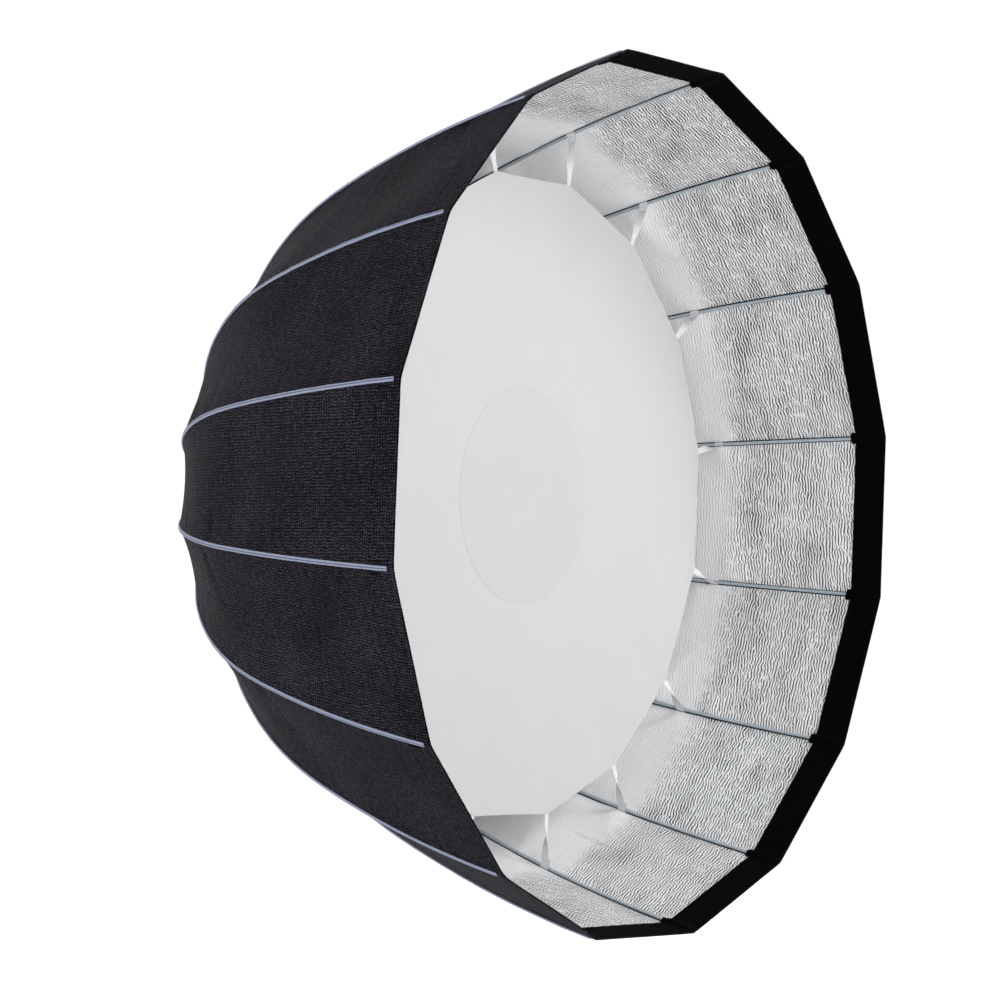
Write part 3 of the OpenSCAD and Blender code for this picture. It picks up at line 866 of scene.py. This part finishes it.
def polar(r, y, delta):
    """A point at polar angle delta from the rib, in the rib's own axes."""
    return np.stack([r * np.cos(delta), r * np.sin(delta), np.broadcast_to(y, np.shape(r))], -1)


def bezier(t, p):
    u = 1 - t
    return u ** 3 * p[0] + 3 * u * u * t * p[1] + 3 * u * t * t * p[2] + t ** 3 * p[3]


def to_row(P, phi):
    return place(P, phi)


deltas = np.linspace(-HALF, HALF, 25)
for k in range(N):
    t = np.linspace(0, 1, 17)[:, None]
    d = deltas[None, :] + 0 * t
    flat_r = COS_H / np.cos(HALF - np.abs(d))
    grids = []
    for layer in (0, 1):
        off = 0.0080 - 0.0007 * layer
        m, a = mid(0.0255), float(ang(0.0255))
        r_h, y_h = (m[0] + off * math.cos(a)) * flat_r, m[1] + off * math.sin(a)
        dr = -0.0007 * layer
        r = bezier(t, [0.1136 + dr, 0.1139 + dr, r_h - 0.0055, r_h])
        y = bezier(t, [-0.0036, -0.0120, y_h + 0.0002, y_h]) + 0 * d
        gather = 0.00045 * np.sin(t * math.pi) * np.cos(d / HALF * 6 * math.pi)
        grids.append(to_row(polar(r + gather * 0.7, y + gather * 0.6, d), rib_angle(k)))
    uv = np.stack([d * 0.115, t * 0.02 + 0 * d], -1)
    b = Builder()
    up = place([0.5, 0, 0.9], rib_angle(k))
    closed_strip(b, grids[0], grids[1], uv, 0, 1, up)
    ob = b.build("collar_%02d" % (k + 1), [M_FABRIC, M_FABRIC])
    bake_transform(ob)

# the cuff: a hemmed ring of the same cloth, pulled over the ring's rear edge
b = Builder()
turns = 192
prof = [(0.1134, -0.0116), (0.1135, -0.0100), (0.1131, -0.0080), (0.1132, -0.0058), (0.1129, -0.0040), (0.1118, -0.0027), (0.1098, -0.00215),
        (0.1060, -0.0020), (0.1010, -0.0021), (0.0965, -0.0020), (0.0952, -0.00155), (0.0938, -0.00135), (0.0925, -0.00150), (0.0918, -0.0021),
        (0.0921, -0.0027), (0.0934, -0.0030), (0.0960, -0.0030), (0.1060, -0.0031), (0.1100, -0.0033), (0.1114, -0.0042), (0.1118, -0.0060),
        (0.1119, -0.0080), (0.1121, -0.0100), (0.1122, -0.0116)]
prof = np.array(prof)
th = np.linspace(0, 2 * math.pi, turns, endpoint=False)[:, None]
pull = 0.00022 * np.sin(th * 64) * np.exp(-((prof[None, :, 0] - 0.0945) / 0.006) ** 2)
rr = prof[None, :, 0] + 0 * th
yy = prof[None, :, 1] + pull
P = np.stack([rr * np.cos(th), yy, rr * np.sin(th)], -1)
P = np.concatenate([P, P[:1]], 0)
gj = np.gradient(P, axis=0)
gj[0] = gj[-1] = P[1] - P[-2]
gc = np.roll(P, -1, 1) - np.roll(P, 1, 1)
nn = unit(np.cross(gj, gc))
mean = P.mean(1, keepdims=True)
if ((P - mean) * nn).sum() < 0:
    nn = -nn
per = np.concatenate([[0], np.cumsum(np.hypot(*np.diff(prof, axis=0).T))])
uvc = np.stack([np.linspace(0, 0.71, turns + 1)[:, None] + 0 * per[None], per[None] + np.zeros((turns + 1, 1))], -1)
f = np.cross(P[1, 8] - P[1, 7], P[2, 7] - P[1, 7])
b.grid(P, nn, uvc, 0, flip=np.dot(f, nn[1, 7]) < 0, closed=True)
cuff = b.build("rear_cuff_cloth", [M_FABRIC])
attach(cuff, "hub")
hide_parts("rear_cuff")


# ---------------------------------------------------------------- the inner diffuser
DIFF_Y = float((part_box("inner_diffuser")[0][1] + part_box("inner_diffuser")[1][1]) / 2)
DIFF_R, PATCH_R = 0.447, 0.150
HEM = 0.011


def diffuser_y(r, d, k):
    """The cloth is drawn out to its corners, so it has faint creases towards them and hangs a little loose between."""
    edge = DIFF_R * COS_H / np.cos(HALF - np.abs(d))
    f = np.clip(r / edge, 0, 1)
    cross = r * np.sin(d)
    crease = 0.00075 * np.sin(cross / 0.0105 + k) * np.exp(-((DIFF_R - r * np.cos(d)) / 0.075)) * smooth(f * 1.3 - 0.2) * smooth((HALF - np.abs(d)) / (0.4 * HALF))
    loose = 0.0016 * np.cos(d / HALF * math.pi) * smooth((f - 0.35) / 0.5)
    drift = 0.0013 * noise2(r * np.cos(rib_angle(k) - d) / 0.13 + 40, r * np.sin(rib_angle(k) - d) / 0.13 + 40, 3.0)
    return crease + loose * 0.5 + drift * smooth((f - 0.05) / 0.2)


hem_step = [0.0, 0.0002]
fr = np.concatenate([np.linspace(0, 0.30, 10), np.linspace(0.30, 0.90, 26)[1:], np.linspace(0.90, 0.968, 8)[1:], [0.9705, 0.9715, 0.9725, 0.976, 0.984, 0.992, 0.997, 1.0]])
for k in range(N):
    d = np.linspace(-HALF, HALF, 31)[None, :] + 0 * fr[:, None]
    edge = DIFF_R * COS_H / np.cos(HALF - np.abs(d)) * (1 - 0.0022 * smooth(np.abs(d) / HALF * 1.4))
    r = fr[:, None] * edge
    # seen from the rear of the box d runs the other way, so the drift is laid out with row-frame angles
    y0 = DIFF_Y + diffuser_y(r, d, k)
    hem = np.where(fr[:, None] > 0.971, 0.00022, 0.0) + 0 * d
    # the sewn edge dips at its stitch line
    dip = -0.00022 * np.exp(-((fr[:, None] - 0.9755) / 0.0014) ** 2) * (1 + 0 * d)
    rim = smooth((1 - fr[:, None]) / 0.004)
    front = polar(r, y0 - (0.00030 + hem + dip) * rim, d)
    back = polar(r, y0 + (0.00030 + hem + dip) * rim, d)
    phi = rib_angle(k)
    front, back = place(front, phi), place(back, phi)
    uv = np.stack([front[..., 0], front[..., 2]], -1)
    b = Builder()
    closed_strip(b, front, back, uv, 0, 0, (0, -1, 0))
    ob = b.build("diffuser_%02d" % (k + 1), [M_DIFF])
    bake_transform(ob)
    if k == 0:
        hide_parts("inner_diffuser")

# the patch is a second layer sewn on the front
b = Builder()
th = np.linspace(0, 2 * math.pi, 192, endpoint=False)[None, :]
fp = np.concatenate([np.linspace(0, 0.9, 14), [0.94, 0.965, 0.975, 0.981, 0.985, 0.989, 0.994, 0.998, 1.0]])[:, None]
rp = fp * PATCH_R + 0 * th
base = np.zeros_like(rp)
for k in range(N):
    # an angle in the row frame runs against the rib's own
    dd = -((th - rib_angle(k) + math.pi) % (2 * math.pi) - math.pi)
    base = np.where(np.abs(dd) <= HALF + 1e-9, diffuser_y(rp, dd, k), base)
puck = 0.00012 * np.sin(th * 120) * np.exp(-((fp - 0.985) / 0.012) ** 2)
dipp = 0.0002 * np.exp(-((fp - 0.985) / 0.004) ** 2)
yf = DIFF_Y + base - 0.00085 + dipp + puck + 0.00035 * smooth((fp - 0.993) / 0.007)
yb = DIFF_Y + base - 0.00036 + 0 * puck
front = np.stack([rp * np.cos(th), yf, rp * np.sin(th)], -1)
back = np.stack([rp * np.cos(th), yb, rp * np.sin(th)], -1)
for P, sgn in ((front, -1.0), (back, 1.0)):
    raw = np.cross(np.roll(P, -1, 1) - np.roll(P, 1, 1), np.gradient(P, axis=0))
    n = unit(raw)
    n = n * np.where(n[..., 1:2] * sgn < 0, -1.0, 1.0)
    n = np.where(np.linalg.norm(raw, axis=-1, keepdims=True) < 1e-12, np.array([0, sgn, 0]), n)
    f = np.cross(P[5, 1] - P[5, 0], P[6, 0] - P[5, 0])
    b.grid(P, n, np.stack([P[..., 2] * 0.98 + 0.3, P[..., 0]], -1), 0, flip=f[1] * sgn < 0, closed=True)
P = np.stack([front[-1], back[-1]], 0)
f = np.cross(P[0, 1] - P[0, 0], P[1, 0] - P[0, 0])
b.grid(P, None, np.stack([P[..., 2], P[..., 0]], -1), 0, flip=np.dot(f, P[0, 0] * [1, 0, 1]) < 0, closed=True)
pob = b.build("diffuser_patch_cloth", [M_PATCH])
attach(pob, "hub")
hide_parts("diffuser_centre_patch")

# each strap leaves a corner flat, turns a quarter and loops round the rod
STRAP_RISE = 0.013
lo, hi = 0.1, TOTAL
for _ in range(60):
    m = (lo + hi) / 2
    lo, hi = (m, hi) if mid(m)[1] > DIFF_Y + STRAP_RISE else (lo, m)
S_ROD = (lo + hi) / 2
ROD_AT, ROD_ANG = mid(S_ROD), float(ang(S_ROD))
for k in range(N):
    b = Builder()
    start_r, loop_r = DIFF_R - 0.012, ROD_D / 2 + 0.0007
    rod_dir = np.array([math.sin(ROD_ANG), 0, -math.cos(ROD_ANG)])
    out_dir = np.array([math.cos(ROD_ANG), 0, math.sin(ROD_ANG)])
    centre, width, across, normal = [], [], [], []
    reach = ROD_AT[0] - start_r
    free = np.linspace(0, 1, 26)
    axis_pt = np.array([ROD_AT[0], 0, DIFF_Y + STRAP_RISE])
    for u in free:
        turn = smooth((u - 0.22) / 0.66)
        p0 = np.array([start_r, 0, DIFF_Y + 0.00215])
        # it ends on the near side of the rod, before the loop
        p1 = axis_pt - out_dir * 0.0 + np.array([0, 1.0, 0]) * loop_r - out_dir * 0.004
        p = p0 + (p1 - p0) * u
        p[1] = loop_r * smooth((u - 0.5) / 0.5)
        w = np.array([0, 1.0, 0]) * math.cos(turn * math.pi / 2) + rod_dir * math.sin(turn * math.pi / 2)
        centre.append(p)
        across.append(unit(w))
        width.append(0.0088 + 0.0030 * smooth((u - 0.2) / 0.7))
    for e in np.linspace(0, 1, 15)[1:]:
        a = math.radians(90 - 250 * e)
        p = axis_pt + (np.array([0, 1.0, 0]) * math.sin(a) + out_dir * math.cos(a)) * loop_r
        if e < 0.001:
            continue
        centre.append(p)
        across.append(rod_dir)
        width.append(0.0118)
    # back along itself for a short sewn end
    last = centre[-1]
    for e in (0.3, 0.65, 1.0):
        q = last + (-out_dir * 0.010 + np.array([0, 0.0012, 0])) * e
        centre.append(q)
        across.append(rod_dir)
        width.append(0.0116)
    centre, across, width = np.array(centre), np.array(across), np.array(width)
    tang = unit(np.gradient(centre, axis=0))
    across = unit(across - (across * tang).sum(1, keepdims=True) * tang)
    normal = np.cross(tang, across)
    half_t = 0.00045
    sec = np.array([[-1, -0.6], [-0.97, -1], [-0.5, -1], [0, -1], [0.5, -1], [0.97, -1], [1, -0.6], [1, 0.6], [0.97, 1], [0.5, 1], [0, 1],
                    [-0.5, 1], [-0.97, 1], [-1, 0.6]])
    P = (centre[:, None] + across[:, None] * (sec[None, :, :1] * width[:, None, None] / 2)
         + normal[:, None] * (sec[None, :, 1:] * half_t))
    run = np.concatenate([[0], np.cumsum(np.linalg.norm(np.diff(centre, axis=0), axis=1))])
    uv = np.stack([sec[None, :, 0] * width[:, None] / 2, run[:, None] + 0 * sec[None, :, 0]], -1)
    nn = (across[:, None] * (sec[None, :, :1] * (np.abs(sec[None, :, :1]) > 0.98)) + normal[:, None] * np.sign(sec[None, :, 1:]))
    nn = unit(nn)
    f = np.cross(P[1, 4] - P[1, 3], P[2, 3] - P[1, 3])
    b.grid(P, nn, uv, 0, flip=np.dot(f, nn[1, 3]) < 0, closed=True)
    for row, other in ((0, 1), (-1, -2)):
        q = P[row]
        away = centre[row] - centre[other]
        face = tuple(range(len(q)))
        if np.dot(np.cross(q[3] - q[1], q[10] - q[3]), away) < 0:
            face = face[::-1]
        b.add(q, [face], None, uv[row], 0)
    to_rib(b, k)
    ob = b.build("strap_%02d" % (k + 1), [M_STRAP])
    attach(ob, body_of_rib[k])
    if k == 0:
        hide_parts("diffuser_straps")


# ---------------------------------------------------------------- the CAD parts that stay
def finish_of(node, mat):
    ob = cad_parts[node]
    ob = ob if hasattr(ob, "data") else bpy.data.objects[node]
    ob.data.materials.clear()
    ob.data.materials.append(mat)
    for p in ob.data.polygons:
        p.material_index = 0


for node, mat in (("speedring_body", M_PLASTIC), ("front_cover", M_PLASTIC), ("bayonet_insert", M_ALU), ("retaining_ring", M_ALU),
                  ("retaining_screws", M_STEEL), ("cover_screws", M_STEEL), ("hinge_pins", M_STEEL), ("slip_washer", M_NYLON)):
    finish_of(node, mat)
for k in range(N):
    finish_of("rib_socket_%02d" % (k + 1), M_SOCKET)


# ---------------------------------------------------------------- floor, light and camera
def floor():
    me = bpy.data.meshes.new("studio_floor")
    half, seg = 14.0, 40
    rows = []
    for i in range(seg + 1):
        x = -half + 2 * half * i / seg
        rows.append(x)
    verts = [(x, y, -1.45) for x in rows for y in rows]
    n = seg + 1
    me.from_pydata(verts, [], [(i * n + j, (i + 1) * n + j, (i + 1) * n + j + 1, i * n + j + 1) for i in range(seg) for j in range(seg)])
    ob = bpy.data.objects.new("studio_floor", me)
    bpy.context.scene.collection.objects.link(ob)
    m = Nodes("pale_floor")
    c = m.noise(m.obj(), 1.3, 3.0)
    m.set(color=m.ramp(c, (0.3, (0.60, 0.60, 0.60)), (0.8, (0.64, 0.64, 0.64))), rough=0.9, spec=0.1, emit=(1, 1, 1, 1))
    far = m.t.nodes.new("ShaderNodeVectorMath")
    far.operation = "DOT_PRODUCT"
    m.t.links.new(m.obj(), far.inputs[0])
    far.inputs[1].default_value = (0.81, 0.585, 0)
    lift = m.t.nodes.new("ShaderNodeMapRange")
    lift.interpolation_type = "SMOOTHSTEP"
    m.t.links.new(far.outputs["Value"], lift.inputs[0])
    lift.inputs[1].default_value, lift.inputs[2].default_value = 2.5, 7.0
    lift.inputs[3].default_value, lift.inputs[4].default_value = 0.22, 1.0
    m.set(emit_s=lift.outputs[0])
    me.materials.append(m.mat)


AMBIENT = 0.26
floor()
world = bpy.data.worlds.new("studio")
bpy.context.scene.world = world
world.use_nodes = True
wt = world.node_tree
bg = wt.nodes["Background"]
bg.inputs[0].default_value = (1, 1, 1, 1)
coord = wt.nodes.new("ShaderNodeTexCoord")
dot = wt.nodes.new("ShaderNodeVectorMath")
dot.operation = "DOT_PRODUCT"
dot.inputs[1].default_value = (0.81, 0.585, 0.0)
wt.links.new(coord.outputs["Generated"], dot.inputs[0])
def world_range(socket, a, b, lo, hi):
    n = wt.nodes.new("ShaderNodeMapRange")
    n.interpolation_type = "SMOOTHSTEP"
    wt.links.new(socket, n.inputs[0])
    n.inputs[1].default_value, n.inputs[2].default_value = a, b
    n.inputs[3].default_value, n.inputs[4].default_value = lo, hi
    return n.outputs[0]


# a white backdrop on one side, paler walls round the horizon and a darker ceiling
backdrop = world_range(dot.outputs["Value"], 0.30, 0.93, AMBIENT, 1.02)
parts = wt.nodes.new("ShaderNodeSeparateXYZ")
wt.links.new(coord.outputs["Generated"], parts.inputs[0])
height = wt.nodes.new("ShaderNodeMath")
height.operation = "ABSOLUTE"
wt.links.new(parts.outputs[2], height.inputs[0])
walls = world_range(height.outputs[0], 0.10, 0.55, 0.66, AMBIENT)
most = wt.nodes.new("ShaderNodeMath")
most.operation = "MAXIMUM"
wt.links.new(backdrop, most.inputs[0])
wt.links.new(walls, most.inputs[1])
wt.links.new(most.outputs[0], bg.inputs[1])


def area_light(name, at, look, size, power, colour=(1, 1, 1)):
    d = bpy.data.lights.new(name, "AREA")
    d.shape = "RECTANGLE"
    d.size, d.size_y = size
    d.energy = power
    d.color = colour
    o = bpy.data.objects.new(name, d)
    bpy.context.scene.collection.objects.link(o)
    o.location = at
    o.rotation_euler = (Vector(look) - Vector(at)).to_track_quat("-Z", "Y").to_euler()
    # the lamp itself isn't seen, only its light
    o.visible_camera = False
    return o


area_light("side", (-4.4, 0.2, 0.5), (0, -0.3, 0.0), (2.2, 1.4), 85)
area_light("front", (-1.6, -4.6, 1.0), (0, -0.45, 0), (2.0, 2.0), 75)
area_light("front_high", (1.6, -3.1, 2.6), (-0.1, -0.3, -0.45), (1.2, 1.2), 56)
area_light("front_low", (1.5, -3.2, -0.40), (-0.1, -0.3, 0.45), (1.4, 0.4), 29)
area_light("top_back", (-1.5, 2.6, 2.8), (0, -0.3, 0), (1.4, 1.4), 10)

cam_data = bpy.data.cameras.new("camera")
cam_data.lens, cam_data.sensor_width = 142.17, 36.0
cam_data.clip_start, cam_data.clip_end = 0.1, 100.0
cam = bpy.data.objects.new("camera", cam_data)
bpy.context.scene.collection.objects.link(cam)
cx, cy, cz = (0.58427, -0.81077, 0.03582), (-0.04885, 0.00892, 0.99877), (-0.81009, -0.58530, -0.03439)
M = Matrix.Identity(4)
for i in range(3):
    M[i][0], M[i][1], M[i][2] = cx[i], cy[i], cz[i]
M[0][3], M[1][3], M[2][3] = -4.4156, -3.6221, -0.1934
cam.matrix_world = M
bpy.context.scene.camera = cam
bpy.context.scene.view_settings.view_transform = "Standard"
